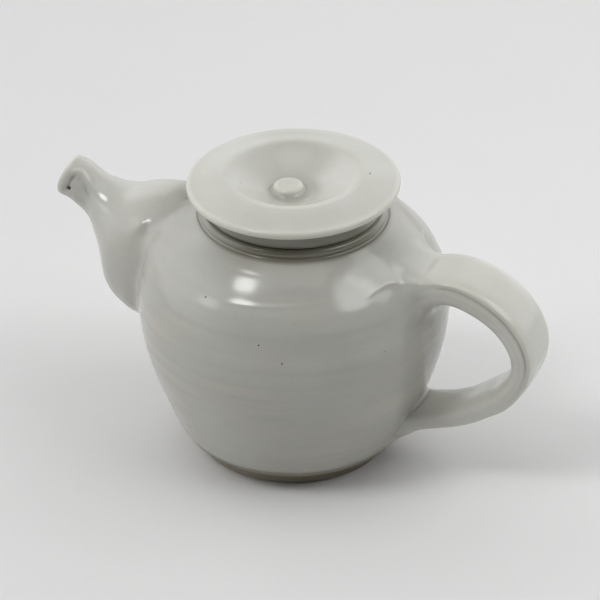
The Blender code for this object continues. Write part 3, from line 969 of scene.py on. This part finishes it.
def makePot():
    strap, reach = strapSections()
    facing = gridNormals(strap)
    upper, lower = np.split(np.arange(len(strap)), 2)
    high, low = (luted(strap[rows], facing[rows], reach[rows]) for rows in (upper, lower[::-1]))
    handleShape, spoutShape, bodyShape = np.concatenate([high, low[::-1]]), spoutGrid(), bodyGrid()
    print("body, handle and spout worked out")
    mesh = pierced(surfaceMesh("bodySurface", bodyShape, neckMasks(bodyShape)))
    addPiece("thrown_body", mesh, makeGlaze("body", body["specks"]), "pot", ["pot_body"])
    mesh = surfaceMesh("handleSurface", handleShape, limbMasks(handleShape, True), uv=True)
    addPiece("pulled_handle", mesh, makeGlaze("handle"), "pot", ["handle"])
    mesh = surfaceMesh("spoutSurface", spoutShape, limbMasks(spoutShape), closedRows=True, uv=True)
    addPiece("thrown_spout", mesh, makeGlaze("spout", spout["specks"]), "pot", ["spout"])
    mesh = surfaceMesh("footSurface", footGrid(), closedRows=True)
    addPiece("turned_foot", mesh, makeClay("footClay"), "pot", ["foot_ring"])


def makeLid():
    lidShape, knobShape = lidGrid(), knobGrid()
    radius, _, height = roundAxis(lidShape)
    # painted shade in the well round the knob's foot
    valley = fadeOut(radius / mm, lid["valleySpan"]) * (height > lid["valleyAbove"] * mm)
    masks = neckMasks(lidShape)
    masks["pool"] = np.maximum(masks["pool"], lid["valley"] * valley)
    mesh = surfaceMesh("lidSurface", lidShape, masks)
    addPiece("thrown_lid", mesh, makeGlaze("lid", lid["specks"]), "lid", ["lid_plate"])
    masks = glazeMasks(knobShape)
    # painted shade round the knob's foot
    gathered = knob["gathered"] * fadeOut(knobShape[..., 2] / mm, knob["shadedBelow"])
    masks["pool"] = np.maximum(masks["pool"], gathered)
    mesh = surfaceMesh("knobSurface", knobShape, masks)
    addPiece("button_knob", mesh, makeGlaze("knob"), "lid", ["lid_knob"])
    mesh = surfaceMesh("skirtSurface", skirtGrid(), closedRows=True)
    addPiece("lid_locating_ring", mesh, makeClay("ringClay"), "lid", ["lid_skirt"])


makePot()
makeLid()


# Floor, light and camera

light = {
    "ambient": 0.02,
    "glows": [  # soft glows of the studio round the object: azimuth, elevation, sharpness, strength
        (135, 12, 6, 1.65), (225, 12, 6, 1), (270, 12, 6, 1.25), (180, 42, 6, 0.45),
        (225, 42, 6, 0.1), (193, 10, 10, 0.4), (272, 38, 6, 0.25)],
    "panes": [  # bright panes: azimuth, elevation, the half angles at which one is full and gone, strength
        (-60, 56, 2.5, 10, 12.5), (-75, 31, 4, 11, 2.4), (61, 46, 6, 15, 3.9),
        (100, 55, 8, 20, 0.5), (-138, 38, 6, 18, 0.9)],
    "background": 0.74,  # what the camera sees past the floor
    "softboxes": {  # azimuth, elevation, distance, width, height, power
        "sideBox": (90, 42, 1.1, 0.62, 0.62, 2.3), "topBox": (0, 80, 1.6, 1.2, 1, 4.4)},
    "aimHeight": 70,
}


floorLook = {
    "size": 8, "noise": (60, 3), "tones": ((0.7, 0.7, 0.7), (0.72, 0.72, 0.72)), "roughness": 0.7,
}


def makeStage():
    bpy.ops.mesh.primitive_plane_add(size=floorLook["size"], location=(0, 0, 0))
    floor = bpy.context.object
    floor.name = "floor"
    material, tree, shader, place = newMaterial("floor")
    tone = mixOf(tree, noiseOf(tree, place, *floorLook["noise"]), *floorLook["tones"])
    tree.links.new(tone, shader.inputs["Base Color"])
    shader.inputs["Roughness"].default_value = floorLook["roughness"]
    floor.data.materials.append(material)


def direction(azimuth, elevation):
    # a unit vector from the object: azimuth 0 is towards the camera, and positive azimuths are to its right
    turn = math.radians(view["azimuth"] + azimuth)
    high = math.radians(elevation)
    return Vector((math.sin(turn) * math.cos(high), -math.cos(turn) * math.cos(high), math.sin(high)))


def addSoftbox(name, azimuth, elevation, distance, width, height, power):
    lamp = bpy.data.lights.new(name, "AREA")
    lamp.shape = "RECTANGLE"
    lamp.size, lamp.size_y = width, height
    lamp.energy = power
    box = linked(name, lamp)
    away = direction(azimuth, elevation)
    box.location = away * distance + fromAxis((0, 0, light["aimHeight"]))
    box.rotation_euler = away.to_track_quat("Z", "Y").to_euler()


def makeLight():
    # the studio round the object: an even part, glows that fall off as a power of the cosine from their
    # middle, and panes with soft edges
    world = bpy.data.worlds.new("studio")
    scene.world = world
    world.use_nodes = True
    tree = world.node_tree
    towards = tree.nodes.new("ShaderNodeTexCoord").outputs["Generated"]
    total = light["ambient"]

    def cosineTo(azimuth, elevation):
        inputs = {0: towards, 1: direction(azimuth, elevation)}
        return nodeOf(tree, "VectorMath", inputs, operation="DOT_PRODUCT").outputs["Value"]

    for azimuth, elevation, sharpness, strength in light["glows"]:
        glow = mathOf(tree, "POWER", mathOf(tree, "MAXIMUM", cosineTo(azimuth, elevation), 0), sharpness)
        total = mathOf(tree, "ADD", timesOf(tree, glow, strength), total)
    for azimuth, elevation, full, gone, strength in light["panes"]:
        edges = (math.cos(math.radians(gone)), math.cos(math.radians(full)))
        pane = rampOf(tree, cosineTo(azimuth, elevation), *edges, (0, strength))
        total = mathOf(tree, "ADD", pane, total)
    seen = tree.nodes.new("ShaderNodeLightPath").outputs["Is Camera Ray"]
    strength = mathOf(tree, "ADD", timesOf(tree, total, mathOf(tree, "SUBTRACT", 1, seen)),
                      timesOf(tree, seen, light["background"]))
    tree.links.new(strength, tree.nodes["Background"].inputs["Strength"])
    tree.nodes["Background"].inputs["Color"].default_value = (1, 1, 1, 1)
    for name, values in light["softboxes"].items():
        addSoftbox(name, *values)


def makeCamera():
    camera = linked("camera", bpy.data.cameras.new("camera"))
    camera.data.lens = view["lens"]
    camera.data.sensor_width = view["sensor"]
    camera.data.clip_end = view["farthest"]
    away = direction(0, view["elevation"])
    aim = fromAxis((0, 0, view["aimHeight"])) + Vector(viewRight) * view["aimRight"] * mm
    camera.location = aim + away * view["distance"] * mm
    camera.rotation_euler = away.to_track_quat("Z", "Y").to_euler()
    scene.camera = camera


makeStage()
makeLight()
makeCamera()
scene.view_settings.view_transform = "Standard"
